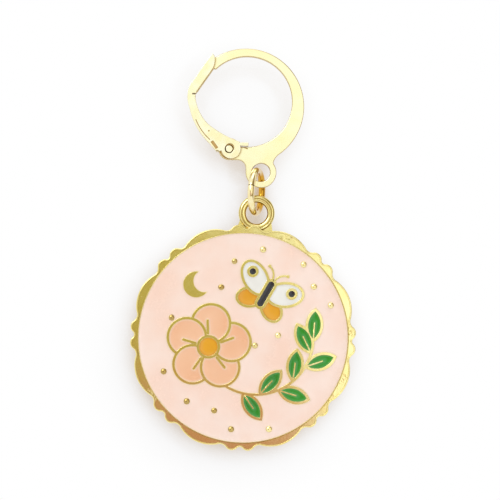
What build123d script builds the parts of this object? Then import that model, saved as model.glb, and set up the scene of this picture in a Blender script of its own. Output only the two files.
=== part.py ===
from build123d import *
import os
from math import cos, radians, sin, sqrt

# A stitch marker: a leverback hoop, a jump ring and a flat enamelled charm that hangs from it.
# Millimetres. The origin is the centre of the hoop's opening, +Z is up, and the front faces -Y.
# Outlines are drawn in (x, z) as seen from the front, and depths grow towards the front.

# Hoop: a flat stamped crescent ring, whose left side is the lever
hoop_inner_radius = 5.0
hoop_top_band = 0.90
hoop_bottom_band = 1.96
hoop_lean = 0.11
hoop_thickness = 0.90
band_end_angle = 134.5

# Straight post at the end of the band, which nests in the lever
post_step = 0.12
post_width = 0.72
post_angle = 144.7
post_length = 4.1
post_start_share = 0.42
post_gap = 0.09

# Eyelet under the hoop and the neck that carries it
eyelet_hole_radius = 1.0
eyelet_wall = 0.70
eyelet_reach = 1.05
eyelet_angle = -77.2
neck_right = 1.33
neck_fillet = 1.55
throat_fillet = 0.90

# Pivot of the lever
pivot_setback = 0.57
pivot_angle = 249.3
boss_radius = 1.22
pin_radius = 0.40
pin_play = 0.08
pin_recess = 0.08

# Lever: a sheet folded to a channel, with a cheek on each side of the hoop
sheet = 0.30
side_play = 0.05
tongue_depth = 1.02
tongue_top = 2.16
lever_tip_shares = ((0, -0.40), (0.24, -0.72), (0.58, -0.95))
cheek_radius = 1.08
cheek_shift = 0.20
relief_width = 0.13
relief_height = 0.80
relief_inset = 0.17
tongue_end = 2.30
boss_play = 0.10
stop_length = 0.95
stop_height = 0.40
stop_gap = 0.08
stop_root_share = 0.90

# Jump ring
ring_outer_diameter = 5.44
ring_wire = 0.76
ring_turn = 15
ring_lean = 3
ring_cut = 0.06
ring_cut_angle = 14
wire_rise = 0.22
wire_offset = 0.38

# Charm: a scalloped plate, whose rim rises from the notches between its scallops
charm_thickness = 1.60
charm_tilt = 6.2
notch_radius = 12.00
pair_notch_rise = 0.07
bump_rise = 0.50
crest_rise = 0.58
bead_width = 0.33
dish_depth = 0.18
rim_land = 0.43
enamel_wall = 0.24
scallop_count = 8
pair_notch_angle = 1.6
bump_angle = 4.4
bump_end_angle = 7.2
notch_angle = 9.4
crest_start_angle = 12.0

# Bail on top of the charm, a little thinner than the plate
bail_hole_radius = 1.18
bail_wall = 0.83
bail_thickness = 1.20
bail_rounding = 0.30
bail_sink = 0.64
bail_offset = 0.14
bail_drop = 0.05
bail_groove_inset = 0.46
bail_groove = 0.14
bail_groove_depth = 0.07
foot_half_width = 2.15
foot_thickness = 0.80
foot_top_shares = (0.86, 0.42)

# Enamel cells and the raised lines between them
line_width = 0.30
cell_depth = 0.45
enamel_drop = 0.10
dot_radius = 0.31
least_cell = 0.12
overrun = 1.0

# Picture on the charm, in shares of the enamel radius
blossom_place_share = (-0.32, -0.12)
petal_reach_share = 0.225
petal_radius_share = 0.170
petal_count = 5
eye_radius_share = 0.088
vein_shares = (0.13, 0.25)
vein_turn = 8
stem_center_share = (0.12, 0.02)
stem_radius_share = 0.55
stem_angles = (-125, 0)
leaf_length_share = 0.265
leaf_width_share = 0.118
leaf_lift_share = 0.022
rib_share = 0.60
leaf_turns = ((-97, -42), (-80, 44), (-61, -40), (-44, 42), (-25, -40), (-10, 42), (2, 0))
butterfly_place_share = (0.17, 0.44)
butterfly_turn = -24
upper_wing_shares = (0.165, 0.085, 0.160, 0.100)
lower_wing_shares = (0.118, -0.100, 0.112, 0.078)
wing_turn = 32
spot_place_share = (0.215, 0.125)
spot_radius_share = 0.030
trunk_shares = (0.205, 0.030)
feeler_shares = ((0.012, 0.13), (0.040, 0.215), (0.100, 0.250))
feeler_width_share = 0.70
feeler_tip_share = 0.60
moon_place_share = (-0.50, 0.46)
moon_radius_share = 0.125
moon_bite_shares = (0.075, 0.040, 0.105)
dot_place_shares = ((-0.16, 0.72), (-0.26, 0.46), (-0.70, 0.12), (-0.72, -0.40), (-0.47, -0.66),
                    (-0.20, -0.72), (-0.02, -0.88), (0.34, -0.84), (0.80, 0.40), (0.62, 0.56),
                    (0.50, 0.76), (0.10, 0.86), (0.12, -0.06), (0.33, 0.06))


def polar(radius, angle):
    return (radius * cos(radians(angle)), radius * sin(radians(angle)))


def moved(point, step):
    return (point[0] + step[0], point[1] + step[1])


def at(point, shape):
    return Pos(point[0], point[1]) * shape


def slab(outline, low, high):
    """Extrude an outline drawn in (x, z), from depth low to depth high towards the front."""
    return Plane.XZ * (Pos(0, 0, low) * extrude(outline, high - low))


def even_slab(outline, thickness):
    return slab(outline, -thickness / 2, thickness / 2)


def box_between(low, high):
    size = (high[0] - low[0], high[1] - low[1])
    return at(moved(low, (size[0] / 2, size[1] / 2)), Rectangle(*size))


# Sizes that follow from the ones above
hoop_outer_radius = hoop_inner_radius + (hoop_top_band + hoop_bottom_band) / 2
hoop_outer_center = (-hoop_lean, (hoop_top_band - hoop_bottom_band) / 2)
eyelet_radius = eyelet_hole_radius + eyelet_wall
eyelet_center = moved(hoop_outer_center, polar(hoop_outer_radius + eyelet_reach, eyelet_angle))
pivot = polar(hoop_inner_radius + pivot_setback, pivot_angle)
post_inner = hoop_inner_radius + post_step
post_outer = post_inner + post_width
lever_radius = post_outer + post_gap + sheet
channel_width = hoop_thickness + 2 * side_play
lever_width = channel_width + 2 * sheet

bump_radius = notch_radius + bump_rise
crest_radius = notch_radius + crest_rise
pair_notch_radius = notch_radius + pair_notch_rise
enamel_radius = notch_radius - rim_land
bail_outer_radius = bail_hole_radius + bail_wall

ring_radius = (ring_outer_diameter - ring_wire) / 2
ring_top = moved(eyelet_center, (-wire_offset, wire_rise))
ring_center = moved(ring_top, polar(ring_radius, -90 - ring_lean))
ring_bottom = moved(ring_center, polar(ring_radius, -90 - ring_lean))
bail_center = moved(ring_bottom, (bail_offset, -bail_drop))
bail_distance = bump_radius + bail_outer_radius - bail_sink
charm_center = moved(bail_center, polar(bail_distance, -90 - charm_tilt))

# Lever outline: angle about the opening's centre, and share of the lever's outer radius
lever_back_shares = ((163.1, 1.054), (175.7, 1.060), (186.0, 1.027), (208.2, 1.000),
                     (228.4, 0.997), (238.8, 1.040))
# The cheeks' inner edge: angle, and share of the opening's radius
lever_inner_shares = ((174.2, 1.153), (191.3, 1.076), (209.4, 0.995), (228.6, 0.905), (260.1, 0.902))


def crescent():
    """The hoop's band, from its end behind the lever's tip round to the pivot."""
    band = at(hoop_outer_center, Circle(hoop_outer_radius)) - Circle(hoop_inner_radius)
    reach = 2 * hoop_outer_radius
    gap = Polygon((0, 0), polar(reach, band_end_angle), polar(reach, 180), polar(reach, 225),
                  (pivot[0], -reach), pivot, align=None)
    web_side = Rot(0, 0, post_angle) * box_between((post_outer, -reach), (reach, reach))
    below = box_between((-reach, -reach), (eyelet_center[0] - eyelet_radius, pivot[1] - boss_radius))
    return band - gap - web_side - below


def post():
    """The straight bar that the lever's channel closes over."""
    start = -post_length * post_start_share
    return Rot(0, 0, post_angle) * box_between((post_inner, start), (post_outer, start + post_length))


def neck():
    """The neck between the band, the pivot boss and the eyelet, with its two hollow fillets."""
    right = eyelet_center[0] + neck_right
    left = eyelet_center[0] - eyelet_radius
    floor = pivot[1] - boss_radius
    top = pivot[1]
    block = box_between((left, eyelet_center[1]), (right, top))
    shelf = box_between((pivot[0], floor), (left + throat_fillet, top))
    corner = (left - throat_fillet, floor - throat_fillet)
    throat = box_between(corner, (left, floor)) - at(corner, Circle(throat_fillet))
    across = right + neck_fillet - hoop_outer_center[0]
    down = sqrt((hoop_outer_radius + neck_fillet) ** 2 - across ** 2)
    hollow = (right + neck_fillet, hoop_outer_center[1] - down)
    share = hoop_outer_radius / (hoop_outer_radius + neck_fillet)
    touch = moved(hoop_outer_center, (across * share, -down * share))
    web = Polygon((right, hollow[1]), (hollow[0], hollow[1]), touch, (right, top), align=None)
    return block + shelf + throat + (web - at(hollow, Circle(neck_fillet)))


def hoop_plate():
    outline = crescent() + post() + neck() + at(pivot, Circle(boss_radius))
    outline += at(eyelet_center, Circle(eyelet_radius))
    outline -= at(eyelet_center, Circle(eyelet_hole_radius))
    outline -= at(pivot, Circle(pin_radius))
    return even_slab(outline, hoop_thickness)


def pivot_pin():
    return even_slab(at(pivot, Circle(pin_radius)), lever_width - 2 * pin_recess)


def lever_back(radius, extra):
    """The folded back of the lever, as edges from the tip down to its tail."""
    points = [polar(radius * share, angle) for angle, share in lever_back_shares]
    turn = Vector(*polar(1, post_angle + 90))
    tip = Vector(*polar(radius, post_angle)) - turn * (tongue_top + extra)
    along = Vector(*points[5]) - Vector(*points[4])
    tail = Vector(*points[5]) + along.normalized() * extra
    return [Line(tip, points[0]), ThreePointArc(*points[0:3]), ThreePointArc(*points[2:5]),
            Line(points[4], tail)]


def lever_side():
    """The outline of a cheek and its tongue."""
    back = lever_back(lever_radius, 0)
    inner = [polar(hoop_inner_radius * share, angle) for angle, share in lever_inner_shares]
    tongue = lever_radius - tongue_depth
    corner = [(tongue, tongue_end)]
    corner += [(tongue + tongue_depth * inward, tongue_top * along) for inward, along in lever_tip_shares]
    spin = Rot(0, 0, post_angle)
    low, knee, brow, tip = [(spin * Pos(*point)).position for point in corner]
    tail = back[-1] @ 1
    front = [Line(tail, pivot), Line(pivot, inner[4]), ThreePointArc(inner[4], inner[3], inner[2]),
             ThreePointArc(inner[2], inner[1], inner[0]), Line(inner[0], low), Line(low, knee),
             ThreePointArc(knee, brow, tip), Line(tip, back[0] @ 0)]
    cheek = at(moved(pivot, (cheek_shift, 0)), Circle(cheek_radius))
    return make_face(back + front) + cheek


def channel():
    """The hollow between the cheeks, which the hoop's post and boss lie in."""
    back = lever_back(lever_radius - sheet, overrun)
    tail = back[-1] @ 1
    below = moved(pivot, (0, -2 * boss_radius))
    beside = moved(pivot, (3 * boss_radius, 0))
    front = [Line(tail, below), Line(below, beside), Line(beside, (0, 0)), Line((0, 0), back[0] @ 0)]
    return make_face(back + front) + at(pivot, Circle(boss_radius + boss_play))


def relief():
    """The slit that frees the tongue's sides from the cheeks below."""
    return box_between((-lever_radius + relief_inset, relief_height),
                       (-hoop_inner_radius, relief_height + relief_width))


def stop_tab():
    """The bridge between the cheeks that rests over the hoop's inner edge when closed."""
    start = pivot[0] + cheek_shift + cheek_radius * stop_root_share
    top = -hoop_inner_radius + stop_gap + stop_height
    tab = box_between((start - stop_height, top - 2 * stop_height), (start + stop_length, top))
    return tab & Circle(hoop_inner_radius - stop_gap)


def lever():
    body = even_slab(lever_side(), lever_width) - even_slab(channel(), channel_width)
    body -= even_slab(relief(), lever_width + overrun)
    tab = even_slab(stop_tab(), lever_width)
    tab -= even_slab(at(pivot, Circle(boss_radius + boss_play)), channel_width)
    body += tab
    return body - even_slab(at(pivot, Circle(pin_radius + pin_play)), lever_width + overrun)


def jump_ring():
    """A round wire ring, cut across its front strand."""
    ring = Torus(ring_radius, ring_wire / 2)
    slice = Box(2 * ring_wire, ring_cut, 2 * ring_wire)
    cut = Rot(0, 0, 90 - ring_cut_angle) * Pos(-ring_radius, 0, 0) * slice
    upright = Rot(0, 90, 0) * (ring - cut)
    return Pos(ring_center[0], 0, ring_center[1]) * Rot(0, ring_lean, 0) * Rot(0, 0, -ring_turn) * upright


def scallop(inset):
    """The plate's edge: pairs of small bumps between long shallow arcs."""
    pitch = 360 / scallop_count
    slope_radius = (bump_radius + notch_radius) / 2
    half = [(0, pair_notch_radius), (pair_notch_angle, slope_radius), (bump_angle, bump_radius),
            (bump_end_angle, slope_radius), (notch_angle, notch_radius),
            (crest_start_angle, (slope_radius + notch_radius) / 2)]
    outline = half[1:] + [(pitch / 2, crest_radius)]
    outline += [(pitch - angle, radius) for angle, radius in reversed(half)]
    outline.append((pitch + pair_notch_angle, slope_radius))
    edges = []
    for index in range(scallop_count):
        first = 90 + bump_angle + index * pitch
        points = [polar(radius - inset, first + angle) for angle, radius in outline]
        edges += [ThreePointArc(*points[start:start + 3]) for start in range(0, len(points) - 1, 2)]
    return make_face(edges)


def share_point(shares):
    return (enamel_radius * shares[0], enamel_radius * shares[1])


def lens(length, width, grow):
    """A leaf's outline along +x, grown by the given width of line."""
    half = length / 2
    radius = (half ** 2 + (width / 2) ** 2) / width
    lift = radius - width / 2
    return at((half, -lift), Circle(radius + grow)) & at((half, lift), Circle(radius + grow))


def stroke(points, width):
    """A round-ended line through three points, as an arc, or between two, straight."""
    path = ThreePointArc(*points) if len(points) == 3 else Line(*points)
    return trace(path, width) + at(points[0], Circle(width / 2)) + at(points[-1], Circle(width / 2))


def petals(grow):
    """The blossom's petals, each a disc, counted from the top."""
    center = share_point(blossom_place_share)
    discs = []
    for index in range(petal_count):
        angle = 90 + index * 360 / petal_count
        place = moved(center, polar(enamel_radius * petal_reach_share, angle))
        discs.append(at(place, Circle(enamel_radius * petal_radius_share + grow)))
    return discs


def blossom_eye(grow):
    return at(share_point(blossom_place_share), Circle(enamel_radius * eye_radius_share + grow))


def petal_veins():
    center = share_point(blossom_place_share)
    inner, outer = [enamel_radius * share for share in vein_shares]
    veins = []
    for index in range(petal_count):
        angle = 90 + index * 360 / petal_count + vein_turn
        veins.append(stroke([moved(center, polar(inner, angle)), moved(center, polar(outer, angle))],
                            line_width))
    return veins


def petal_cells():
    """Each petal lies over the one before it and under the one after it."""
    inner = petals(0)
    grown = petals(line_width)
    veins = petal_veins()
    eye = blossom_eye(line_width)
    return [inner[index] - grown[(index + 1) % petal_count] - eye - veins[index]
            for index in range(petal_count)]


def leaf_places():
    center = share_point(stem_center_share)
    places = []
    for angle, turn in leaf_turns:
        heading = angle + 90 + turn
        base = moved(center, polar(enamel_radius * stem_radius_share, angle))
        base = moved(base, polar(enamel_radius * leaf_lift_share, heading))
        places.append(Pos(base[0], base[1]) * Rot(0, 0, heading))
    return places


def leaves(grow):
    length = enamel_radius * leaf_length_share
    width = enamel_radius * leaf_width_share
    return [place * lens(length, width, grow) for place in leaf_places()]


def leaf_cells():
    """A leaf, with a raised midrib over the first two thirds of it."""
    length = enamel_radius * leaf_length_share
    rib = at((length * rib_share / 2, 0), Rectangle(length * rib_share, line_width / 2))
    return [leaf - place * rib for leaf, place in zip(leaves(0), leaf_places())]


def stem():
    center = share_point(stem_center_share)
    radius = enamel_radius * stem_radius_share
    first, last = stem_angles
    points = [moved(center, polar(radius, angle)) for angle in (first, (first + last) / 2, last)]
    return stroke(points, line_width)


def butterfly_frame():
    place = share_point(butterfly_place_share)
    return Pos(place[0], place[1]) * Rot(0, 0, butterfly_turn)


def wing(shares, turn, side, grow):
    across, along, long_half, short_half = [enamel_radius * share for share in shares]
    shape = Rot(0, 0, side * turn) * Ellipse(long_half + grow, short_half + grow)
    return butterfly_frame() * (Pos(side * across, along) * shape)


def trunk(grow):
    length, radius = [enamel_radius * share for share in trunk_shares]
    return butterfly_frame() * (Rot(0, 0, 90) * SlotCenterToCenter(length, 2 * (radius + grow)))


def spot(side, grow):
    across, along = share_point(spot_place_share)
    return butterfly_frame() * (Pos(side * across, along) * Circle(enamel_radius * spot_radius_share + grow))


def feelers():
    lines = []
    for side in (-1, 1):
        points = [share_point((side * x, y)) for x, y in feeler_shares]
        lines.append(butterfly_frame() * stroke(points, line_width * feeler_width_share))
        lines.append(butterfly_frame() * at(points[2], Circle(line_width * feeler_tip_share)))
    return lines


def moon():
    radius = enamel_radius * moon_radius_share
    across, up, bite = [enamel_radius * share for share in moon_bite_shares]
    return at(share_point(moon_place_share), Circle(radius) - at((across, up), Circle(bite)))


def dots():
    return [at(share_point(place), Circle(dot_radius)) for place in dot_place_shares]


def without(face, cutters):
    for cutter in cutters:
        face = face - cutter
    return face


def picture_cells():
    """Every enamel cell by name, as flat outlines in the charm's own frame."""
    cells = {}
    cells["butterfly_trunk_enamel"] = trunk(0)
    for side, name in ((-1, "left"), (1, "right")):
        upper = wing(upper_wing_shares, wing_turn, side, 0)
        lower = wing(lower_wing_shares, -wing_turn, side, 0)
        over = [trunk(line_width)]
        cells["upper_wing_enamel_" + name] = without(upper, over + [spot(side, line_width)])
        cells["wing_spot_enamel_" + name] = spot(side, 0)
        over.append(wing(upper_wing_shares, wing_turn, side, line_width))
        cells["lower_wing_enamel_" + name] = without(lower, over)
    cells["blossom_eye_enamel"] = blossom_eye(0)
    for index, cell in enumerate(petal_cells()):
        cells["petal_enamel_%d" % (index + 1)] = cell
    for index, cell in enumerate(leaf_cells()):
        cells["leaf_enamel_%d" % (index + 1)] = cell
    cells["ground_enamel"] = ground()
    return cells


def ground():
    """The pale ground round every motif, line and dot."""
    over = [trunk(line_width), blossom_eye(line_width), stem(), moon()]
    for side in (-1, 1):
        over.append(wing(upper_wing_shares, wing_turn, side, line_width))
        over.append(wing(lower_wing_shares, -wing_turn, side, line_width))
    over += petals(line_width) + leaves(line_width) + feelers() + dots()
    return without(Circle(enamel_radius), over)


def kept_faces(cell):
    return [face for face in cell.faces() if face.area > least_cell]


def charm_frame():
    """The charm's own frame: its centre, tilted as it hangs."""
    return Pos(charm_center[0], 0, charm_center[1]) * Rot(0, charm_tilt, 0)


def bail():
    """The rounded ring on top of the plate, with a groove round its front, and its foot."""
    middle = bail_hole_radius + bail_wall / 2
    section = RectangleRounded(bail_wall, bail_thickness, bail_rounding)
    ring = revolve(Plane.XZ * at((middle, 0), section), Axis.Z)
    place = (bail_hole_radius + bail_groove_inset, bail_thickness / 2)
    ring -= revolve(Plane.XZ * at(place, Rectangle(bail_groove, 2 * bail_groove_depth)), Axis.Z)
    ring = Plane.XZ * ring
    low = bail_sink + bail_outer_radius
    half_top, top = [bail_outer_radius * share for share in foot_top_shares]
    foot = Polygon((-foot_half_width, -low), (foot_half_width, -low), (half_top, -top),
                   (-half_top, -top), align=None)
    foot -= Circle(middle)
    return Pos(0, 0, bail_distance) * (ring + even_slab(foot, foot_thickness))


def charm_body(cells):
    front = charm_thickness / 2
    body = even_slab(scallop(0), charm_thickness)
    dish = scallop(bead_width) - Circle(enamel_radius + enamel_wall)
    body -= slab(dish, front - dish_depth, front + overrun)
    body += bail()
    for cell in cells.values():
        for face in kept_faces(cell):
            body -= slab(face, front - cell_depth, front + overrun)
    return charm_frame() * body


def enamel(cell):
    front = charm_thickness / 2
    fills = [slab(face, front - cell_depth, front - enamel_drop) for face in kept_faces(cell)]
    return charm_frame() * (fills[0] if len(fills) == 1 else Compound(children=fills))


def build():
    cells = picture_cells()
    shapes = {"hoop_plate": hoop_plate(), "pivot_pin": pivot_pin(), "lever": lever(),
              "jump_ring": jump_ring(), "charm_body": charm_body(cells)}
    for name, cell in cells.items():
        shapes[name] = enamel(cell)
    os.makedirs("parts", exist_ok=True)
    for name, shape in shapes.items():
        export_step(shape, "parts/%s.step" % name)


build()
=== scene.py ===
from math import atan2, cos, pi, radians, sin
import bmesh
import bpy
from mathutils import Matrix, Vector


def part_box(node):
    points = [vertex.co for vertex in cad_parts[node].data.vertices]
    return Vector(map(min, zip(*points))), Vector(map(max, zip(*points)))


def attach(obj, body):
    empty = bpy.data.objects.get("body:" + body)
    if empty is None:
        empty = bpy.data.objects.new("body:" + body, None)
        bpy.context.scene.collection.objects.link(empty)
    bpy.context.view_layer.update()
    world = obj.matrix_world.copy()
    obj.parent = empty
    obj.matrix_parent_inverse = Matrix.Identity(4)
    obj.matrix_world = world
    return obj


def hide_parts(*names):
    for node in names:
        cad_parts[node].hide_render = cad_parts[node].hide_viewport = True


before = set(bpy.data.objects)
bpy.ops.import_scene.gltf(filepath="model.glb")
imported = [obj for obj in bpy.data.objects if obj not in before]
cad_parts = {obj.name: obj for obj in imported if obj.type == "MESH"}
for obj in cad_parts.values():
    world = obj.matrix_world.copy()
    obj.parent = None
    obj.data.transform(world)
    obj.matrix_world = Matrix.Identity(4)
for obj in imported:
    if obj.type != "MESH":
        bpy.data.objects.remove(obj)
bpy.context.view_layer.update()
mm = 0.001

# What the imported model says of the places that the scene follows
charmLow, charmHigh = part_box("ground_enamel")
charmCenter = (charmLow + charmHigh) / 2
enamelRadius = (charmHigh.x - charmLow.x) / 2
plateLow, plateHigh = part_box("charm_body")
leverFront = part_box("lever")[0].y
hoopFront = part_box("hoop_plate")[0].y


class Value:
    # one socket of a shader or geometry tree, with arithmetic
    def __init__(self, tree, socket):
        self.tree = tree
        self.socket = socket

    def math(self, operation, *others):
        return self.tree.node("Math", {"operation": operation}, self, *others)[0]

    def __add__(self, other):
        return self.math("ADD", other)

    def __radd__(self, other):
        return self.math("ADD", other)

    def __mul__(self, other):
        return self.math("MULTIPLY", other)

    def __rmul__(self, other):
        return self.math("MULTIPLY", other)

    def __sub__(self, other):
        return self.math("SUBTRACT", other)

    def __rsub__(self, other):
        return self.tree.node("Math", {"operation": "SUBTRACT"}, other, self)[0]

    def __truediv__(self, other):
        return self.math("DIVIDE", other)

    def __neg__(self):
        return self.math("MULTIPLY", -1)

    def __gt__(self, other):
        return self.math("GREATER_THAN", other)

    def __lt__(self, other):
        return self.math("LESS_THAN", other)

    def __pow__(self, other):
        return self.math("POWER", other)

    def clamped(self):
        return self.tree.node("Clamp", {}, self)[0]


class Tree:
    # adds nodes to a shader or geometry tree: type, settings first, then the sockets in order or by name
    def __init__(self, nodes, kind):
        self.nodes = nodes
        self.kind = kind

    def node(self, name, settings, *values, **named):
        kinds = (prefix + name for prefix in (self.kind, "ShaderNode", "FunctionNode", "Node"))
        made = self.nodes.nodes.new(next(kind for kind in kinds if hasattr(bpy.types, kind)))
        for key, value in settings.items():
            setattr(made, key, value)
        inputs = [socket for socket in made.inputs if socket.enabled]
        for socket, value in zip(inputs, values):
            self.put(socket, value)
        for key, value in named.items():
            matches = [socket for socket in inputs if socket.name.replace(" ", "") == key]
            self.put(matches[0], value)
        return [Value(self, socket) for socket in made.outputs if socket.enabled]

    def put(self, socket, value):
        if isinstance(value, list):
            for each in value:
                self.put(socket, each)
        elif isinstance(value, Value):
            self.nodes.links.new(value.socket, socket)
        else:
            socket.default_value = value


def emptied(name):
    material = bpy.data.materials.new(name)
    material.use_nodes = True
    material.node_tree.nodes.clear()
    return material, Tree(material.node_tree, "ShaderNode")


def objectPlace(tree, stretch=(1, 1, 1), turn=(0, 0, 0)):
    coordinates = tree.node("TexCoord", {})[3]
    return tree.node("Mapping", {}, coordinates, (0, 0, 0), turn, stretch)[0]


def cloud(tree, place, size, detail=3, sharpness=0.5, offset=0.0):
    # soft noise from 0 to 1, whose lumps are about size across
    shifted = tree.node("VectorMath", {"operation": "ADD"}, place, (offset, offset, offset))[0]
    return tree.node("TexNoise", {}, shifted, Scale=1 / size, Detail=detail, Roughness=sharpness)[0]


def between(tree, value, low, high):
    # 0 up to low and 1 from high on
    return tree.node("MapRange", {"clamp": True}, value, low, high, 0.0, 1.0)[0]


def blended(tree, factor, first, second):
    return tree.node("Mix", {"data_type": "RGBA"}, factor, first, second)[0]


def finished(tree, **sockets):
    surface = tree.node("BsdfPrincipled", {}, **sockets)[0]
    tree.node("OutputMaterial", {}, surface)


print("stage: gold finishes")
# What all the golds share: the ranges where a mark or a painted shade begins and is full, and how much of it
# shows
plating = {"drift": (0.35, 0.65), "sideShare": 0.85, "far": (0.1 * mm, 0.9 * mm), "creaseRays": 8,
           "creaseReach": 0.35 * mm, "crease": (0.12, 0.5), "creaseShare": 0.9, "hair": 0.05 * mm,
           "hairStretch": (1, 1, 0.06), "hairTurn": 0.2, "hairlines": (0.60, 0.72), "wearSize": 3,
           "wear": (0.45, 0.7), "dimpleShare": 0.6, "bump": 0.5}
hoopGold = {"pale": (0.98, 0.945, 0.62, 1), "deep": (0.97, 0.91, 0.52, 1), "side": (0.50, 0.32, 0.08, 1),
            "crease": (0.45, 0.27, 0.07, 1), "roughness": 0.12, "sideRoughness": 0.16, "blotch": 2.4 * mm,
            "pit": 0.30 * mm, "pitDepth": 0.0012 * mm, "scratch": 0.04, "brushTurn": 0.5}
leverGold = {"pale": (0.99, 0.965, 0.72, 1), "deep": (0.97, 0.91, 0.56, 1), "side": (0.56, 0.33, 0.09, 1),
             "crease": (0.45, 0.27, 0.07, 1), "roughness": 0.13, "sideRoughness": 0.14, "blotch": 1.1 * mm,
             "pit": 0.30 * mm, "pitDepth": 0.0018 * mm, "scratch": 0.05, "brushTurn": 0.9}
ringGold = {"pale": (0.98, 0.91, 0.60, 1), "deep": (0.95, 0.80, 0.42, 1), "far": (0.66, 0.36, 0.04, 1),
            "side": (0.46, 0.22, 0.03, 1), "crease": (0.36, 0.17, 0.03, 1), "roughness": 0.10,
            "sideRoughness": 0.05, "blotch": 0.8 * mm, "pit": 0.25 * mm, "pitDepth": 0.0012 * mm,
            "scratch": 0.03, "brushTurn": 0.2}


def driftedGold(tree, place, look):
    drift = between(tree, cloud(tree, place, look["blotch"]), *plating["drift"])
    return blended(tree, drift, look["pale"], look["deep"])


def fineMarks(tree, place, look):
    # hairline scratches that run one way, and faint dimples
    along = objectPlace(tree, plating["hairStretch"], (plating["hairTurn"], look["brushTurn"], 0))
    hair = cloud(tree, along, plating["hair"], detail=2, sharpness=0.6, offset=0.3)
    dimples = cloud(tree, place, look["pit"], detail=2, offset=0.1)
    return between(tree, hair, *plating["hairlines"]), dimples


def goldFinish(name, look):
    # plated gold, with painted shade on its cut sides, in its creases, and on the far side where a look says
    # so
    material, tree = emptied(name)
    place = objectPlace(tree)
    colour = driftedGold(tree, place, look)
    # painted shade on the far side, deeper towards the back
    if "far" in look:
        depth = tree.node("SeparateXYZ", {}, place)[1]
        colour = blended(tree, between(tree, depth, *plating["far"]), colour, look["far"])
    # painted shade on the cut sides and on the floors of sunk marks
    side = tree.node("Attribute", {"attribute_name": "side"})[2]
    colour = blended(tree, plating["sideShare"] * side, colour, look["side"])
    # painted shade in the creases, where the surface is closed in
    openness = tree.node("AmbientOcclusion", {"samples": plating["creaseRays"]},
                         Distance=plating["creaseReach"])[1]
    crease = between(tree, 1 - openness, *plating["crease"])
    colour = blended(tree, plating["creaseShare"] * crease, colour, look["crease"])
    hairlines, dimples = fineMarks(tree, place, look)
    wear = cloud(tree, place, plating["wearSize"] * look["blotch"], detail=2, offset=0.7)
    dents = plating["dimpleShare"] * between(tree, wear, *plating["wear"]) * dimples
    roughness = look["roughness"] + look["scratch"] * (hairlines + dents)
    roughness = (roughness + look["sideRoughness"] * side).clamped()
    normal = tree.node("Bump", {}, Strength=plating["bump"], Distance=look["pitDepth"], Height=dimples)[0]
    finished(tree, BaseColor=colour, Metallic=1.0, Roughness=roughness, Normal=normal)
    return material


goldMaterials = {name: goldFinish(name, look) for name, look in
                 (("hoopGold", hoopGold), ("leverGold", leverGold), ("ringGold", ringGold))}

charmGold = {"pale": (0.96, 0.87, 0.41, 1), "deep": (0.94, 0.81, 0.32, 1), "side": (0.42, 0.27, 0.06, 1),
             "crease": (0.42, 0.30, 0.07, 1), "stain": (0.52, 0.42, 0.12, 1), "roughness": 0.08,
             "sideRoughness": 0.10, "blotch": 1.8 * mm, "pit": 0.40 * mm, "pitDepth": 0.0022 * mm,
             "lump": 0.45 * mm, "lumpRise": 6.0, "scratch": 0.04, "brushTurn": -0.4}
# The dots are the same casting, with a painted shade on those in the left part of the charm
dotGold = dict(charmGold, pale=(0.97, 0.88, 0.45, 1), deep=(0.95, 0.82, 0.36, 1), dull=(0.40, 0.25, 0.05, 1))
# Where the casting's finish and its painted shade change: depths under its front, distances from the charm's
# middle or from the enamel's edge, and how much of each change shows
castingZones = {"sunk": (0.10 * mm, 0.16 * mm), "deeper": (0.30 * mm, 0.40 * mm), "patch": 3.4 * mm,
                "patches": (0.60, 0.68), "lumps": (0.48, 0.62), "stain": 0.04, "lumpStain": 0.5,
                "stainRoughness": 0.03, "dull": (-2 * mm, 3 * mm), "dullShare": 0.8, "creaseRays": 8,
                "creaseReach": 0.20 * mm, "crease": (0.25, 0.7), "creaseShare": 0.75, "cleanShare": 0.4,
                "awayLean": (0.8, -0.6), "away": (-3 * mm, 5 * mm), "wallInside": (-0.04 * mm, 0.01 * mm),
                "wallOutside": (0.11 * mm, 0.16 * mm), "wallShare": 0.7, "bump": 0.6}


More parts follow.
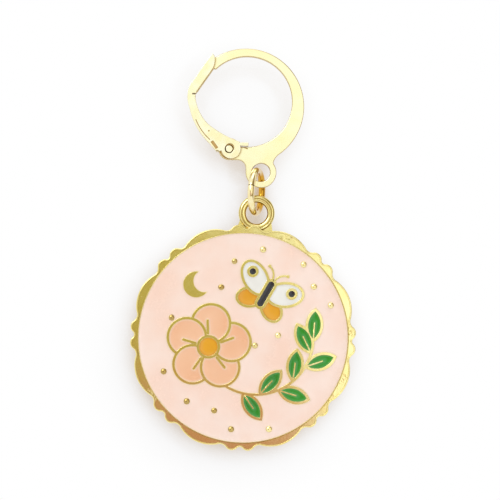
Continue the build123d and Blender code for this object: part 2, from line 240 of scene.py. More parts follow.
def castingFinish(name, look):
    # as above, and the sunk band round the charm has patches of small lumps left by the die; the band gets a
    # faint painted shade, darker on the lumps
    zones = castingZones
    material, tree = emptied(name)
    place = objectPlace(tree)
    middle = (charmCenter.x, plateLow.y, charmCenter.z)
    fromMiddle = tree.node("VectorMath", {"operation": "SUBTRACT"}, place, middle)[0]
    aside, depth, up = tree.node("SeparateXYZ", {}, fromMiddle)
    side = tree.node("Attribute", {"attribute_name": "side"})[2]
    front = 1 - between(tree, depth, *zones["deeper"])
    floor = between(tree, depth, *zones["sunk"]) * front * (1 - side)
    colour = driftedGold(tree, place, look)
    # painted shade on the cut sides and in the bail's groove
    colour = blended(tree, plating["sideShare"] * side, colour, look["side"])
    patches = between(tree, cloud(tree, place, zones["patch"], detail=2, offset=0.4), *zones["patches"])
    lumps = cloud(tree, place, look["lump"], sharpness=0.6, offset=0.8)
    lumps = between(tree, lumps, *zones["lumps"]) * patches
    # painted shade over the sunk band, darker on the lumps
    stain = floor * (zones["stain"] + zones["lumpStain"] * lumps)
    colour = blended(tree, stain, colour, look["stain"])
    # painted shade on the dots in the left part of the charm
    if "dull" in look:
        dull = 1 - between(tree, aside, *zones["dull"])
        colour = blended(tree, zones["dullShare"] * dull, colour, look["dull"])
    # painted shade in the creases, where the surface is closed in
    openness = tree.node("AmbientOcclusion", {"samples": zones["creaseRays"]},
                         Distance=zones["creaseReach"])[1]
    crease = between(tree, 1 - openness, *zones["crease"])
    # Towards the lower right the band has less painted crease shade, and the wall round the enamel gets a
    # painted brown shade line
    acrossLean, upLean = zones["awayLean"]
    away = between(tree, acrossLean * aside + upLean * up, *zones["away"])
    creaseShadeShown = (zones["creaseShare"] - zones["cleanShare"] * away) * crease
    colour = blended(tree, creaseShadeShown, colour, look["crease"])
    beyond = (aside * aside + up * up) ** 0.5 - enamelRadius
    wall = between(tree, beyond, *zones["wallInside"]) * (1 - between(tree, beyond, *zones["wallOutside"]))
    colour = blended(tree, zones["wallShare"] * wall * away * front, colour, look["crease"])
    hairlines, dimples = fineMarks(tree, place, look)
    marks = hairlines + plating["dimpleShare"] * dimples
    roughness = look["roughness"] + look["scratch"] * marks + zones["stainRoughness"] * stain
    roughness = (roughness + look["sideRoughness"] * side).clamped()
    height = dimples + look["lumpRise"] * floor * lumps
    normal = tree.node("Bump", {}, Strength=zones["bump"], Distance=look["pitDepth"], Height=height)[0]
    finished(tree, BaseColor=colour, Metallic=1.0, Roughness=roughness, Normal=normal)
    return material


goldMaterials["charmGold"] = castingFinish("charmGold", charmGold)
goldMaterials["dotGold"] = castingFinish("dotGold", dotGold)


print("stage: enamel colours")
# Each colour: the pour's own colour, a darker tone for its clouds and specks, and an edge colour painted
# beside the gold walls, as a painted shade on pink, white and yellow and as a paler rim on salmon, green and
# black
enamelLooks = {
    "pink": {"colour": (0.985, 0.79, 0.69, 1), "shade": (0.965, 0.66, 0.52, 1),
             "edge": (0.93, 0.74, 0.52, 1)},
    "salmon": {"colour": (0.93, 0.55, 0.34, 1), "shade": (0.88, 0.45, 0.24, 1),
               "edge": (0.94, 0.70, 0.52, 1)},
    "green": {"colour": (0.014, 0.29, 0.007, 1), "shade": (0.005, 0.16, 0.003, 1),
              "edge": (0.10, 0.36, 0.08, 1)},
    "white": {"colour": (0.88, 0.87, 0.82, 1), "shade": (0.80, 0.77, 0.70, 1),
              "edge": (0.80, 0.78, 0.72, 1)},
    "yellow": {"colour": (0.82, 0.39, 0.012, 1), "shade": (0.70, 0.28, 0.006, 1),
               "edge": (0.66, 0.27, 0.01, 1)},
    "black": {"colour": (0.010, 0.010, 0.016, 1), "shade": (0.005, 0.005, 0.008, 1),
              "edge": (0.03, 0.026, 0.02, 1)},
}
# A cloud's size, the range where it shows, and how much of it does; edgeReach is in mm
enamelBody = {"roughness": 0.16, "coat": 0.3, "cloudSize": 6.0 * mm, "clouds": (0.38, 0.68),
              "cloudShare": 0.7, "cloudRoughness": 0.08, "edgeReach": 0.22, "edgeShare": 0.75,
              "grainSize": 0.25 * mm, "grainRoughness": 0.10, "grainHeight": 0.15,
              "speckSize": 0.30 * mm, "specks": (0.79, 0.82), "speckShare": 0.45,
              "rippleSize": 0.8 * mm, "rippleDepth": 0.004 * mm, "bump": 0.35}


def enamelFinish(name, look):
    # glassy pour: pigment drifts in clouds, takes a painted edge colour beside the gold walls, a painted
    # shade on most colours, and holds a few specks
    body = enamelBody
    material, tree = emptied(name)
    place = objectPlace(tree)
    clouds = between(tree, cloud(tree, place, body["cloudSize"], sharpness=0.55), *body["clouds"])
    colour = blended(tree, body["cloudShare"] * clouds, look["colour"], look["shade"])
    # painted edge colour beside the gold walls: a painted shade on most colours
    wall = tree.node("Attribute", {"attribute_name": "wall"})[2]
    beside = 1 - between(tree, wall, 0.0, body["edgeReach"])
    colour = blended(tree, body["edgeShare"] * beside, colour, look["edge"])
    grain = cloud(tree, place, body["grainSize"], detail=4, sharpness=0.7, offset=0.2)
    specks = cloud(tree, place, body["speckSize"], detail=1, sharpness=0.4, offset=0.9)
    specks = between(tree, specks, *body["specks"])
    colour = blended(tree, body["speckShare"] * specks, colour, look["shade"])
    roughness = body["roughness"] + body["grainRoughness"] * grain + body["cloudRoughness"] * clouds
    ripples = cloud(tree, place, body["rippleSize"], detail=2, offset=0.5)
    height = ripples + body["grainHeight"] * grain
    normal = tree.node("Bump", {}, Strength=body["bump"], Distance=body["rippleDepth"], Height=height)[0]
    finished(tree, BaseColor=colour, Roughness=roughness, CoatWeight=body["coat"], Normal=normal)
    return material


enamelMaterials = {name: enamelFinish(name + "Enamel", look) for name, look in enamelLooks.items()}


def newGroup(name, inputs):
    group = bpy.data.node_groups.new(name, "GeometryNodeTree")
    for label, kind in inputs:
        group.interface.new_socket(label, in_out="INPUT", socket_type="NodeSocket" + kind)
    group.interface.new_socket("Mesh", in_out="OUTPUT", socket_type="NodeSocketGeometry")
    tree = Tree(group, "GeometryNode")
    source = group.nodes.new("NodeGroupInput")
    given = {socket.name: Value(tree, socket) for socket in source.outputs if socket.name}
    return group, tree, given


def settled(holder):
    # swaps the object's mesh for its evaluated one, and takes its modifiers off
    bpy.context.view_layer.update()
    evaluated = holder.evaluated_get(bpy.context.evaluated_depsgraph_get())
    mesh = bpy.data.meshes.new_from_object(evaluated)
    holder.modifiers.clear()
    holder.data = mesh
    mesh.name = holder.name
    return holder


def grown(group, name, settings, points=()):
    # runs a tree on these points, if it takes any, and gives back the plain mesh it makes
    holder = bpy.data.objects.new(name, bpy.data.meshes.new(name))
    holder.data.from_pydata(points, [], [])
    bpy.context.scene.collection.objects.link(holder)
    modifier = holder.modifiers.new("grow", "NODES")
    modifier.node_group = group
    for item in group.interface.items_tree:
        if item.in_out == "INPUT" and item.name in settings:
            modifier[item.identifier] = settings[item.name]
    return settled(holder)


def smoothed(piece, angle):
    mesh = piece.data
    mesh.polygons.foreach_set("use_smooth", [True] * len(mesh.polygons))
    mesh.set_sharp_from_angle(angle=radians(angle))
    return piece


def placed(piece, body, slot, *nodes):
    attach(piece, body)
    if nodes:
        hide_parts(*nodes)
    return piece


print("stage: enamel pours")
weld = 0.001 * mm  # corners closer than this are one
pour = {"rise": 0.045 * mm, "reach": 0.20 * mm, "overlap": 0.05 * mm, "ripple": 0.010 * mm,
        "rippleSize": 2.5 * mm, "inset": 0.02 * mm, "seam": 0.0005 * mm, "foldAngle": 45,
        "frontBand": 0.01 * mm, "backBand": 0.1 * mm, "rayStart": 0.5 * mm, "rayLength": 0.8 * mm,
        "groundSpacing": 0.15 * mm, "cellSpacing": 0.07 * mm, "smoothAngle": 40}

pourTree, tree, given = newGroup("enamelPour", (
    ("Cell", "Object"), ("Width", "Float"), ("Height", "Float"), ("Middle", "Vector"), ("Front", "Float"),
    ("Depth", "Float"), ("Spacing", "Float"), ("Overlap", "Float"), ("Rise", "Float"), ("Reach", "Float"),
    ("Ripple", "Float"), ("Enamel", "Material")))
# The cell's front outline, out of the CAD solid
cell = tree.node("ObjectInfo", {}, given["Cell"])[-1]
solid = tree.node("MergeByDistance", {}, cell, True, weld)[0]
fold = tree.node("InputMeshEdgeAngle", {})[0]
x, y, z = tree.node("SeparateXYZ", {}, tree.node("InputPosition", {})[0])
rimEdge = (fold > radians(pour["foldAngle"])) * (y < given["Front"] + pour["frontBand"])
outline = tree.node("DeleteGeometry", {"domain": "EDGE", "mode": "EDGE_FACE"}, solid, 1 - rimEdge)[0]
# A grid over the cell, trimmed to the outline and pushed a little into the gold wall
spacing = given["Spacing"]
grid = tree.node("MeshGrid", {}, given["Width"] + 2 * spacing, given["Height"] + 2 * spacing,
                 given["Width"] / spacing + 3, given["Height"] / spacing + 3)[0]
upright = tree.node("Transform", {}, grid, Translation=given["Middle"], Rotation=(pi / 2, 0, 0))[0]
sample = tree.node("CombineXYZ", {}, x, given["Front"], z)[0]
above = tree.node("CombineXYZ", {}, x, given["Front"] - pour["rayStart"], z)[0]
inside = tree.node("Raycast", {}, TargetGeometry=solid, SourcePosition=above, RayDirection=(0, 1, 0),
                   RayLength=pour["rayLength"])[0]
nearest, wallDistance = tree.node("Proximity", {"target_element": "EDGES"}, outline,
                                  SamplePosition=sample)[:2]
stored = upright
for label, value in (("inside", inside * 1), ("wall", wallDistance * inside / mm)):
    stored = tree.node("StoreNamedAttribute", {"data_type": "FLOAT"}, stored, True, label, value)[0]
wasInside = tree.node("InputNamedAttribute", {"data_type": "FLOAT"}, "inside")[0]
wasWall = tree.node("InputNamedAttribute", {"data_type": "FLOAT"}, "wall")[0]
kept = tree.node("DeleteGeometry", {"domain": "FACE"}, stored, wasInside < 0.01)[0]
outward = tree.node("VectorMath", {"operation": "SUBTRACT"}, sample, nearest)[0]
outward = tree.node("VectorMath", {"operation": "NORMALIZE"}, outward)[0]
outward = tree.node("VectorMath", {"operation": "SCALE"}, outward, Scale=given["Overlap"])[0]
snapped = tree.node("VectorMath", {"operation": "ADD"}, nearest, outward)[0]
snapX, snapY, snapZ = tree.node("SeparateXYZ", {}, snapped)
atBack = tree.node("CombineXYZ", {}, snapX, y, snapZ)[0]
trimmed = tree.node("SetPosition", {}, kept, wasInside < 0.5, atBack)[0]
# The pour itself: its front climbs the wall and ripples faintly, and its back closes it
raised = tree.node("ExtrudeMesh", {"mode": "FACES"}, trimmed, True, (0, -1, 0), given["Depth"], False)[0]
backLevel = tree.node("SeparateXYZ", {}, given["Middle"])[1]
climb = tree.node("Math", {"operation": "EXPONENT"}, -(wasWall * mm) / given["Reach"])[0]
waves = tree.node("TexNoise", {}, tree.node("InputPosition", {})[0], Scale=1 / pour["rippleSize"],
                  Detail=1.0)[0]
frontLevel = given["Front"] - given["Rise"] * climb + given["Ripple"] * (waves - 0.5)
face = tree.node("SetPosition", {}, raised, y < backLevel - pour["backBand"],
                 tree.node("CombineXYZ", {}, x, frontLevel, z)[0])[0]
closed = tree.node("JoinGeometry", {}, [face, tree.node("FlipFaces", {}, trimmed)[0]])[0]
closed = tree.node("MergeByDistance", {}, closed, True, pour["seam"])[0]
whole = tree.node("RealizeInstances", {}, closed)[0]
coated = tree.node("SetMaterial", {}, whole, True, given["Enamel"])[0]
tree.node("GroupOutput", {}, coated)


def pourEnamel(node, colour, spacing):
    low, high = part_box(node)
    middle = (low + high) / 2
    piece = grown(pourTree, node.replace("enamel", "pour"), {
        "Cell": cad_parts[node], "Width": high.x - low.x, "Height": high.z - low.z,
        "Middle": (middle.x, high.y - pour["inset"], middle.z), "Front": low.y,
        "Depth": high.y - low.y - pour["inset"], "Spacing": spacing, "Overlap": pour["overlap"],
        "Rise": pour["rise"], "Reach": pour["reach"], "Ripple": pour["ripple"],
        "Enamel": enamelMaterials[colour]})
    return placed(smoothed(piece, pour["smoothAngle"]), "charm", colour + "_enamel", node)


enamelNodes = {"ground": "pink", "petal": "salmon", "leaf": "green", "blossom_eye": "yellow",
               "butterfly_trunk": "black", "upper_wing": "white", "lower_wing": "yellow",
               "wing_spot": "black"}
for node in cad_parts:
    kind = next((key for key in enamelNodes if node.startswith(key)), None)
    if kind:
        pourEnamel(node, enamelNodes[kind], pour["groundSpacing" if kind == "ground" else "cellSpacing"])


print("stage: metal pieces")
# How far each edge is rounded. Press marks, whose walls are lower than hoopMark or leverMark, stay crisp
edges = {"hoop": 0.10 * mm, "lever": 0.05 * mm, "pin": 0.06 * mm, "line": 0.03 * mm, "rim": 0.11 * mm,
         "back": 0.10 * mm, "bail": 0.02 * mm, "segments": 3, "foldAngle": 35, "flatAngle": 0.5,
         "level": 0.99999, "sideTurn": 1.6, "hoopMark": 0.16 * mm, "leverMark": 0.18 * mm,
         "leverMarkBand": 0.2 * mm, "plateShare": 0.9, "lineBand": 0.1 * mm}
# The bail: where it starts above the charm's middle, and how the rim's rounding tapers towards it
bail = {"foot": charmCenter.z + 12.7 * mm, "middle": 1.06 * mm, "taperFrom": 2.2 * mm, "taper": 2.5 * mm}


def joined(shape):
    # triangles joined up again into the faces that they were cut from
    bmesh.ops.remove_doubles(shape, verts=shape.verts, dist=weld)
    bmesh.ops.dissolve_limit(shape, angle_limit=radians(edges["flatAngle"]), verts=shape.verts,
                             edges=shape.edges)


def mergedCopy(name, node):
    piece = bpy.data.objects.new(name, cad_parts[node].data.copy())
    bpy.context.scene.collection.objects.link(piece)
    shape = bmesh.new()
    shape.from_mesh(piece.data)
    joined(shape)
    shape.to_mesh(piece.data)
    shape.free()
    return piece


def prism(outline, front, back):
    # a cutter with this outline of (x, z), between two levels of y
    count = len(outline)
    points = [(x, level, z) for level in (front, back) for x, z in outline]
    sides = [(i, (i + 1) % count, count + (i + 1) % count, count + i) for i in range(count)]
    mesh = bpy.data.meshes.new("cutter")
    mesh.from_pydata(points, [], sides + [tuple(range(count)), tuple(range(2 * count - 1, count - 1, -1))])
    shape = bmesh.new()
    shape.from_mesh(mesh)
    bmesh.ops.triangulate(shape, faces=[face for face in shape.faces if len(face.verts) > 4])
    bmesh.ops.recalc_face_normals(shape, faces=shape.faces)
    shape.to_mesh(mesh)
    shape.free()
    cutter = bpy.data.objects.new("cutter", mesh)
    bpy.context.scene.collection.objects.link(cutter)
    return cutter


def carved(piece, *cutters):
    # takes the cutters out of a piece
    for cutter in cutters:
        carve = piece.modifiers.new("carve", "BOOLEAN")
        carve.operation = "DIFFERENCE"
        carve.solver = "EXACT"
        carve.object = cutter
    settled(piece)
    for cutter in cutters:
        bpy.data.objects.remove(cutter)
    return piece


def weighted(piece, widthOf):
    # gives each sharp edge its own rounding
    shape = bmesh.new()
    shape.from_mesh(piece.data)
    joined(shape)
    weight = shape.edges.layers.float.new("bevel_weight_edge")
    for edge in shape.edges:
        if len(edge.link_faces) == 2 and edge.calc_face_angle() > radians(edges["foldAngle"]):
            edge[weight] = widthOf(edge) / mm
    shape.to_mesh(piece.data)
    shape.free()
    return piece


def softened(piece):
    # rounds the edges as plating and polishing do
    bevel = piece.modifiers.new("soften", "BEVEL")
    bevel.width = 1 * mm
    bevel.segments = edges["segments"]
    bevel.limit_method = "WEIGHT"
    bevel.use_clamp_overlap = False
    bevel.miter_outer = "MITER_ARC"
    bevel.harden_normals = True
    return settled(piece)


def flattened(piece):
    # the level faces mirror evenly, whatever the rounded edges beside them do
    mesh = piece.data
    normals = [corner.vector.copy() for corner in mesh.corner_normals]
    for face in mesh.polygons:
        if abs(face.normal.y) > edges["level"]:
            for corner in face.loop_indices:
                normals[corner] = face.normal.copy()
    mesh.normals_split_custom_set(normals)
    return piece


def sideMarked(piece, sunk=(0, 0)):
    # tells the finish, which paints shade there, how far each face turns away from the front and back, or
    # lies sunk between two levels
    mesh = piece.data
    side = mesh.attributes.new("side", "FLOAT", "FACE")
    turned = [1.0 if sunk[0] < face.center.y < sunk[1]
              else max(0.0, 1 - edges["sideTurn"] * abs(face.normal.y)) for face in mesh.polygons]
    side.data.foreach_set("value", turned)
    return piece


def metalPiece(name, node, body, slot, finish, widthOf, cutters=(), sunk=(0, 0)):
    piece = weighted(carved(mergedCopy(name, node), *cutters), widthOf)
    piece = sideMarked(flattened(softened(smoothed(piece, edges["foldAngle"]))), sunk)
    piece.data.materials.clear()
    piece.data.materials.append(goldMaterials[finish])
    return placed(piece, body, slot, node)


def middleOf(edge):
    return (edge.verts[0].co + edge.verts[1].co) / 2


def wallDepth(edge):
    # how far the deeper of the edge's two faces reaches from front to back
    return max(max(corner.co.y for corner in face.verts) - min(corner.co.y for corner in face.verts)
               for face in edge.link_faces)


def circle(middle, radius, sides):
    return [(middle[0] + radius * cos(2 * pi * i / sides), middle[1] + radius * sin(2 * pi * i / sides))
            for i in range(sides)]


def stroke(points, width):
    # the outline of a line of this width through the points
    left, right = [], []
    for index, point in enumerate(points):
        first, last = points[max(index - 1, 0)], points[min(index + 1, len(points) - 1)]
        length = ((last[0] - first[0]) ** 2 + (last[1] - first[1]) ** 2) ** 0.5
        across = (-(last[1] - first[1]) / length * width / 2, (last[0] - first[0]) / length * width / 2)
        left.append((point[0] + across[0], point[1] + across[1]))
        right.append((point[0] - across[0], point[1] - across[1]))
    return left + right[::-1]


def bend(middle, turns, radii, steps):
    # points along an arc, from the first angle and radius to the last
    points = []
    for step in range(steps + 1):
        turn, radius = [first + (last - first) * step / steps for first, last in (turns, radii)]
        points.append((middle[0] + radius * cos(radians(turn)), middle[1] + radius * sin(radians(turn))))
    return points


def markOutline(mark):
    # a patch by its corners, a line through its points or along its turn, or a round pit
    if "corners" in mark:
        return mark["corners"]
    if "points" in mark:
        return stroke(mark["points"], mark["width"])
    if "turn" in mark:
        return stroke(bend(mark["middle"], mark["turn"], mark["radii"], mark["steps"]), mark["width"])
    return circle(mark["middle"], mark["radius"], mark["sides"])


def markCutters(marks, front):
    # one cutter for each mark, from 1 mm before the metal's front down to the mark's depth
    cutters = []
    for mark in marks.values():
        outline = [(x * mm, z * mm) for x, z in markOutline(mark)]
        cutters.append(prism(outline, front - mm, front + mark["depth"] * mm))
    return cutters


# The lever's press marks, in mm from the hoop's middle and in degrees
leverMarks = {
    "fold": {"middle": (0, 0), "turn": (199, 225.8), "radii": (5.99, 5.87), "steps": 24, "width": 0.09,
             "depth": 0.10},
    "panel": {"corners": ((-4.04, -4.45), (-3.76, -4.27), (-3.18, -5.06), (-3.44, -5.24)), "depth": 0.11},
    "notch": {"middle": (-3.27, -5.50), "radius": 0.17, "sides": 20, "depth": 0.15},
    "pit": {"middle": (-4.22, -3.22), "radius": 0.09, "sides": 20, "depth": 0.04},
    "rivetHole": {"middle": (-1.91, -5.10), "radius": 0.48, "sides": 40, "depth": 0.31},
}
# The hoop's: a groove that the cheek's edge turns in, and a dash under the stop
hoopMarks = {
    "groove": {"middle": (-1.97, -5.21), "turn": (196, 335), "radii": (1.04, 1.04), "steps": 30,
               "width": 0.13, "depth": 0.14},
    "dash": {"points": ((-0.50, -4.99), (0.09, -5.20)), "width": 0.12, "depth": 0.14},
}
# Levels between which a mark's floor lies, which gets painted shade
sunkLevels = {"lever": (leverFront + 0.03 * mm, leverFront + 0.14 * mm),
              "hoop": (hoopFront + 0.03 * mm, hoopFront + 0.16 * mm),
              "bailGroove": (-0.56 * mm, -0.51 * mm)}


def leverWidth(edge):
    atFront = middleOf(edge).y < leverFront + edges["leverMarkBand"]
    return 0 if wallDepth(edge) < edges["leverMark"] and atFront else edges["lever"]


def hoopWidth(edge):
    return 0 if wallDepth(edge) < edges["hoopMark"] else edges["hoop"]


def pinWidth(edge):
    return edges["pin"]


metalPiece("leverSheet", "lever", "lever", "finding_gold", "leverGold", leverWidth,
           markCutters(leverMarks, leverFront), sunkLevels["lever"])
metalPiece("hoopPlate", "hoop_plate", "hoop", "finding_gold", "hoopGold", hoopWidth,
           markCutters(hoopMarks, hoopFront), sunkLevels["hoop"])
metalPiece("pivotRivet", "pivot_pin", "hoop", "finding_gold", "leverGold", pinWidth)

# The rim's band is cut flat from a thin outer lip to the enamel's wall, in two halves that overlap
rimBand = {"lip": 0.17 * mm, "wall": 0.09 * mm, "floor": 0.19 * mm, "least": 0.33 * mm, "facing": 0.3,
           "overlap": 3}


def rimWidth(edge):
    # the plate's outer edges are rounder than the walls and lines inside it
    middle = middleOf(edge)
    if middle.z > bail["foot"]:
        return edges["bail"]
    if wallDepth(edge) < edges["plateShare"] * (plateHigh.y - plateLow.y):
        return edges["line"] if middle.y < plateLow.y + edges["lineBand"] else 0
    aside = min(1.0, max(0.0, (abs(middle.x - bail["middle"]) - bail["taperFrom"]) / bail["taper"]))
    nearBail = 1 - aside if middle.z > charmCenter.z else 0
    return (edges["rim"] if middle.y < 0 else edges["back"]) * (1 - nearBail) + edges["bail"] * nearBail


def rimPoints():
    # the corners of the plate's front outline round the charm's middle, in order of their angle
    plate = mergedCopy("plate", "charm_body")
    shape = bmesh.new()
    shape.from_mesh(plate.data)
    bpy.data.objects.remove(plate)
    rim = set()
    for edge in shape.edges:
        middle = middleOf(edge) - charmCenter
        outward = Vector((middle.x, 0, middle.z)).normalized()
        onFront = max(corner.co.y for corner in edge.verts) < plateLow.y + weld
        outside = middle.x ** 2 + middle.z ** 2 > (enamelRadius + rimBand["least"]) ** 2
        facing = any(face.normal.dot(outward) > rimBand["facing"] for face in edge.link_faces)
        if onFront and outside and facing:
            rim.update((corner.co.x - charmCenter.x, corner.co.z - charmCenter.z) for corner in edge.verts)
    shape.free()
    return sorted(rim, key=lambda place: atan2(place[1], place[0]))


def bandCutters():
    # between the outline, moved in by the lip, and the wall round the enamel
    rim = rimPoints()
    outer, inner = [], []
    for index, (x, z) in enumerate(rim):
        first, last = rim[index - 1], rim[(index + 1) % len(rim)]
        length = ((last[0] - first[0]) ** 2 + (last[1] - first[1]) ** 2) ** 0.5
        x -= (last[1] - first[1]) / length * rimBand["lip"]
        z += (last[0] - first[0]) / length * rimBand["lip"]
        share = (enamelRadius + rimBand["wall"]) / (x * x + z * z) ** 0.5
        outer.append((charmCenter.x + x, charmCenter.z + z))
        inner.append((charmCenter.x + x * share, charmCenter.z + z * share))
    half, over = len(rim) // 2, rimBand["overlap"]
    halves = ((outer[:half + over], inner[:half + over]),
              (outer[half:] + outer[:over], inner[half:] + inner[:over]))
    return [prism(outerHalf + innerHalf[::-1], plateLow.y - mm, plateLow.y + rimBand["floor"])
            for outerHalf, innerHalf in halves]


metalPiece("charmCasting", "charm_body", "charm", "charm_gold", "charmGold", rimWidth, bandCutters(),
           sunkLevels["bailGroove"])


print("stage: gold dots")
# Places are shares of the enamel's radius, and the tilt is the hanging charm's
dots = {"radius": 0.33 * mm, "rise": 0.16 * mm, "level": 0.06 * mm, "rings": 14, "sides": 20, "lop": 0.06,
        "seed": 5, "tilt": radians(6.2),
        "places": ((-0.16, 0.72), (-0.26, 0.46), (-0.70, 0.12), (-0.72, -0.40), (-0.47, -0.66),
                   (-0.20, -0.72), (-0.02, -0.88), (0.34, -0.84), (0.80, 0.40), (0.62, 0.56),
                   (0.50, 0.76), (0.10, 0.86), (0.12, -0.06), (0.33, 0.06))}

dotTree, tree, given = newGroup("goldDots", (
    ("Places", "Geometry"), ("Radius", "Float"), ("Rise", "Float"), ("Rings", "Int"), ("Sides", "Int"),
    ("Lop", "Float"), ("Seed", "Int"), ("Gold", "Material")))
ball = tree.node("MeshUVSphere", {}, given["Sides"], given["Rings"], given["Radius"])[0]
squashed = tree.node("Transform", {}, ball,
                     Scale=tree.node("CombineXYZ", {}, 1.0, given["Rise"] / given["Radius"], 1.0)[0])[0]
bead = tree.node("SetShadeSmooth", {}, squashed, True, True)[0]
wobble = tree.node("RandomValue", {"data_type": "FLOAT_VECTOR"}, (-1, -1, -1), (1, 1, 1),
                   Seed=given["Seed"])[0]
wobble = tree.node("VectorMath", {"operation": "SCALE"}, wobble, Scale=given["Lop"])[0]
beadSize = tree.node("VectorMath", {"operation": "ADD"}, wobble, (1, 1, 1))[0]
points = tree.node("MeshToPoints", {}, given["Places"], True)[0]
beads = tree.node("InstanceOnPoints", {}, points, True, bead, Scale=beadSize)[0]
gilded = tree.node("SetMaterial", {}, tree.node("RealizeInstances", {}, beads)[0], True, given["Gold"])[0]
tree.node("GroupOutput", {}, gilded)


def charmPoint(share, level):
    across, up = share[0] * enamelRadius, share[1] * enamelRadius
    return (charmCenter.x + across * cos(dots["tilt"]) + up * sin(dots["tilt"]), level,
            charmCenter.z - across * sin(dots["tilt"]) + up * cos(dots["tilt"]))


goldDots = grown(dotTree, "goldDots", {
    "Radius": dots["radius"], "Rise": dots["rise"], "Rings": dots["rings"], "Sides": dots["sides"],
    "Lop": dots["lop"], "Seed": dots["seed"], "Gold": goldMaterials["dotGold"]},
    [charmPoint(place, plateLow.y + dots["level"]) for place in dots["places"]])
placed(sideMarked(goldDots), "charm", "charm_gold")


print("stage: jump ring")
jumpRing = {"diameter": 5.44 * mm, "wire": 0.76 * mm, "cut": 0.06 * mm, "cutAngle": radians(256),
            "turn": radians(-15), "lean": radians(3), "steps": 160, "sides": 32, "burr": 0.035 * mm,
            "thinned": 0.12, "smoothAngle": 40}

ringTree, tree, given = newGroup("jumpRing", (
    ("Radius", "Float"), ("Wire", "Float"), ("Cut Angle", "Float"), ("Cut Half", "Float"), ("Steps", "Int"),
    ("Sides", "Int"), ("Burr", "Float"), ("Thinned", "Float"), ("Turn", "Rotation"), ("Lean", "Rotation"),
    ("Middle", "Vector"), ("Gold", "Material")))
arc = tree.node("CurveArc", {"mode": "RADIUS"}, given["Steps"], Radius=given["Radius"],
                StartAngle=given["Cut Angle"] + given["Cut Half"],
                SweepAngle=2 * pi - 2 * given["Cut Half"])[0]
along = tree.node("SplineParameter", {})[1]
length = tree.node("SplineLength", {})[0]
fromEnd = tree.node("Math", {"operation": "MINIMUM"}, along, length - along)[0]
thickness = 1 - given["Thinned"] * (1 - fromEnd / given["Burr"]).clamped() ** 2
arc = tree.node("SetCurveRadius", {}, arc, True, thickness)[0]
section = tree.node("CurvePrimitiveCircle", {"mode": "RADIUS"}, given["Sides"], Radius=given["Wire"] / 2)[0]
wire = tree.node("CurveToMesh", {}, arc, section, FillCaps=True)[0]
wire = tree.node("Transform", {}, wire, Rotation=(0, pi / 2, 0))[0]
wire = tree.node("Transform", {}, wire, Rotation=given["Turn"])[0]
wire = tree.node("Transform", {}, wire, Translation=given["Middle"], Rotation=given["Lean"])[0]
wire = tree.node("SetMaterial", {}, tree.node("RealizeInstances", {}, wire)[0], True, given["Gold"])[0]
tree.node("GroupOutput", {}, wire)

ringLow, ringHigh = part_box("jump_ring")
ringRadius = (jumpRing["diameter"] - jumpRing["wire"]) / 2
wireRing = grown(ringTree, "jumpRing", {
    "Radius": ringRadius, "Wire": jumpRing["wire"], "Cut Angle": jumpRing["cutAngle"],
    "Cut Half": jumpRing["cut"] / ringRadius / 2, "Steps": jumpRing["steps"], "Sides": jumpRing["sides"],
    "Burr": jumpRing["burr"], "Thinned": jumpRing["thinned"], "Turn": (0, 0, jumpRing["turn"]),
    "Lean": (0, jumpRing["lean"], 0), "Middle": tuple((ringLow + ringHigh) / 2),
    "Gold": goldMaterials["ringGold"]})
placed(sideMarked(smoothed(wireRing, jumpRing["smoothAngle"])), "ring", "ring_gold", "jump_ring")


print("stage: floor, light and camera")
view = {"distance": 208 * mm, "aim": (0.33 * mm, 0, -16.4 * mm), "lens": 135, "sensor": 36}
# Each lamp: its place, its size, and its power in watts
lamps = {"key": ((-0.16, -0.30, 0.16), 0.22, 0.38), "fill": ((0.22, -0.28, 0.02), 0.26, 0.12),
         "top": ((0.02, -0.05, 0.34), 0.30, 0.18)}
floor = {"drop": 24 * mm, "reach": 0.12, "colour": (0.90, 0.90, 0.90, 1), "shadeReach": 30 * mm,
         "shaded": (0.65, 0.65, 0.65, 1), "bright": (1.0, 1.0, 1.0, 1), "rays": 16}

aim = Vector(view["aim"])
cameraData = bpy.data.cameras.new("camera")
cameraData.lens = view["lens"]
cameraData.sensor_width = view["sensor"]
cameraData.clip_start = 0.01
camera = bpy.data.objects.new("camera", cameraData)
bpy.context.scene.collection.objects.link(camera)
camera.location = aim + Vector((0, -view["distance"], 0))
camera.rotation_euler = (pi / 2, 0, 0)
bpy.context.scene.camera = camera

for name, (place, size, power) in lamps.items():
    lampData = bpy.data.lights.new(name, "AREA")
    lampData.shape = "DISK"
    lampData.size = size
    lampData.energy = power
    lamp = bpy.data.objects.new(name, lampData)
    bpy.context.scene.collection.objects.link(lamp)
    lamp.location = place
    lamp.rotation_euler = (aim - Vector(place)).to_track_quat("-Z", "Y").to_euler()


def stagePlane(name, corners, material):
    mesh = bpy.data.meshes.new(name)
    mesh.from_pydata(corners, [], [(0, 1, 2, 3)])
    plane = bpy.data.objects.new(name, mesh)
    bpy.context.scene.collection.objects.link(plane)
    mesh.materials.append(material)
    return plane


# The floor is white where it is looked at, with a painted shadow near the object, matt where it lights the
# object, and clear from below
floorPaint, tree = emptied("floorPaint")
openness = tree.node("AmbientOcclusion", {"samples": floor["rays"]}, Distance=floor["shadeReach"])[1]
path = tree.node("LightPath", {})
looked = (path[0] + path[3] + path[6]).clamped()
matt = tree.node("BsdfDiffuse", {}, floor["colour"])[0]
bright = tree.node("Emission", {}, blended(tree, openness, floor["shaded"], floor["bright"]), 1.0)[0]
under = tree.node("NewGeometry", {})[6]
top = tree.node("MixShader", {}, looked, matt, bright)[0]
both = tree.node("MixShader", {}, under, top, tree.node("BsdfTransparent", {})[0])[0]
tree.node("OutputMaterial", {}, both)
reach, level = floor["reach"], charmLow.z - floor["drop"]
stagePlane("floor", [(-reach, -reach, level), (reach, -reach, level), (reach, reach, level),
                     (-reach, reach, level)], floorPaint)

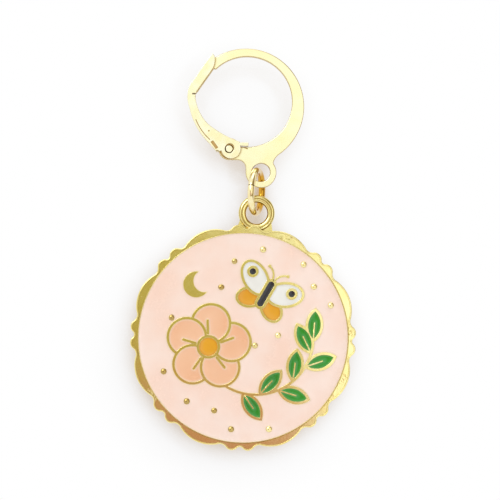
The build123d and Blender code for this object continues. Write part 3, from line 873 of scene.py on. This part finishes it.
# A clear sheet just behind the object, which only shows the soft shade that the object casts on it:
# a wide faint one and a close brown one, each gathered along a lean, and none where a part swings behind it
shade = {"back": 2.9 * mm, "lean": (0.28, -0.74, 0.54), "left": -45 * mm, "low": -51 * mm, "right": 45 * mm,
         "high": 29 * mm, "full": 0.65, "rays": 16, "least": 0.001,
         "clear": {"reach": 28 * mm, "lean": (0, 0.93, 0.36), "range": (0.80, 0.93)}}
shades = {"far": {"reach": 9 * mm, "depth": 0.30, "from": 0.07, "power": 1.0,
                  "colour": (0.50, 0.46, 0.48, 1)},
          "near": {"reach": 3.7 * mm, "depth": 2.0, "from": 0.03, "power": 2.2,
                   "colour": (0.60, 0.45, 0.27, 1)}}


def opennessAlong(tree, lean, reach):
    # what share of the rays along a lean meets nothing within reach
    lean = tree.node("CombineXYZ", {}, *lean)[0]
    return tree.node("AmbientOcclusion", {"samples": shade["rays"]}, Distance=reach, Normal=lean)[1]


shadePaint, tree = emptied("shadePaint")
far, near = [
    each["depth"] * between(tree, 1 - opennessAlong(tree, shade["lean"], each["reach"]), each["from"],
                            shade["full"]) ** each["power"]
    for each in (shades["far"], shades["near"])]
clear = opennessAlong(tree, shade["clear"]["lean"], shade["clear"]["reach"])
clear = between(tree, clear, *shade["clear"]["range"])
seen = tree.node("LightPath", {})[0]
front = 1 - tree.node("NewGeometry", {})[6]
nearShare = (near / (far + near + shade["least"])).clamped()
tint = blended(tree, nearShare, shades["far"]["colour"], shades["near"]["colour"])
shown = (far + near).clamped() * clear * seen * front
veil = tree.node("MixShader", {}, shown, tree.node("BsdfTransparent", {})[0],
                 tree.node("Emission", {}, tint, 1.0)[0])[0]
tree.node("OutputMaterial", {}, veil)
left, low, right, high, back = [shade[key] for key in ("left", "low", "right", "high", "back")]
shadeSheet = stagePlane("shadeSheet", [(left, back, low), (right, back, low), (right, back, high),
                                       (left, back, high)], shadePaint)
shadeSheet.visible_diffuse = False
shadeSheet.visible_glossy = False
shadeSheet.visible_transmission = False
shadeSheet.visible_shadow = False

# Room light: white to the camera and even for matt surfaces. Gloss mirrors a table behind the object, walls
# beside it that are bright at the upper left, and a front. The front is bright above its horizon, which
# falls to the right, dim below it and warm further down, and its bright part glares at the lower right
roomLight = {"even": 0.67, "table": (1.0, 1.0, 1.0, 1), "tableSpan": (-0.05, 0.25),
             "wall": (0.32, 0.24, 0.12, 1), "window": (1.0, 0.98, 0.94, 1), "windowRise": 0.8,
             "windowSpan": (-0.15, 0.45), "frontSpan": (0.90, 0.965),
             "bright": (1.10, 1.10, 1.06, 1), "shade": (0.50, 0.43, 0.16, 1), "horizon": 0.014,
             "horizonLean": 0.2, "horizonBlur": 0.008, "rightFrom": 0.018, "rightFall": 5.0,
             "warm": (0.56, 0.28, 0.26, 1), "warmBelow": (0.055, 0.085),
             "glare": (1.36, 1.36, 1.46, 1), "glareBelow": (-0.04, 0.0), "glareRight": (0.020, 0.045)}
world = bpy.data.worlds.new("room")
bpy.context.scene.world = world
world.use_nodes = True
world.node_tree.nodes.clear()
tree = Tree(world.node_tree, "ShaderNode")
x, y, z = tree.node("SeparateXYZ", {}, tree.node("TexCoord", {})[0])
rightFall = roomLight["rightFall"] * (x - roomLight["rightFrom"]).math("MAXIMUM", 0)
aboveHorizon = z - roomLight["horizon"] + roomLight["horizonLean"] * x + rightFall
lit = between(tree, aboveHorizon, -roomLight["horizonBlur"], roomLight["horizonBlur"])
warmth = between(tree, -z, *roomLight["warmBelow"])
glare = lit * between(tree, -z, *roomLight["glareBelow"]) * between(tree, x, *roomLight["glareRight"])
room = blended(tree, warmth, roomLight["shade"], roomLight["warm"])
room = blended(tree, lit, room, roomLight["bright"])
room = blended(tree, glare, room, roomLight["glare"])
window = between(tree, roomLight["windowRise"] * z - x, *roomLight["windowSpan"])
walls = blended(tree, window, roomLight["wall"], roomLight["window"])
room = blended(tree, between(tree, -y, *roomLight["frontSpan"]), walls, room)
room = blended(tree, between(tree, y, *roomLight["tableSpan"]), room, roomLight["table"])
path = tree.node("LightPath", {})
cameraRay, glossyRay, throughRay = path[0], path[3], path[6]
gloss = tree.node("Background", {}, room, 1.0)[0]
even = tree.node("Background", {}, (1, 1, 1, 1), roomLight["even"])[0]
white = tree.node("Background", {}, (1, 1, 1, 1), 1.0)[0]
light = tree.node("MixShader", {}, glossyRay, even, gloss)[0]
light = tree.node("MixShader", {}, (cameraRay + throughRay).clamped(), light, white)[0]
tree.node("OutputWorld", {}, light)

bpy.context.scene.view_settings.view_transform = "Standard"

print("stage: done")
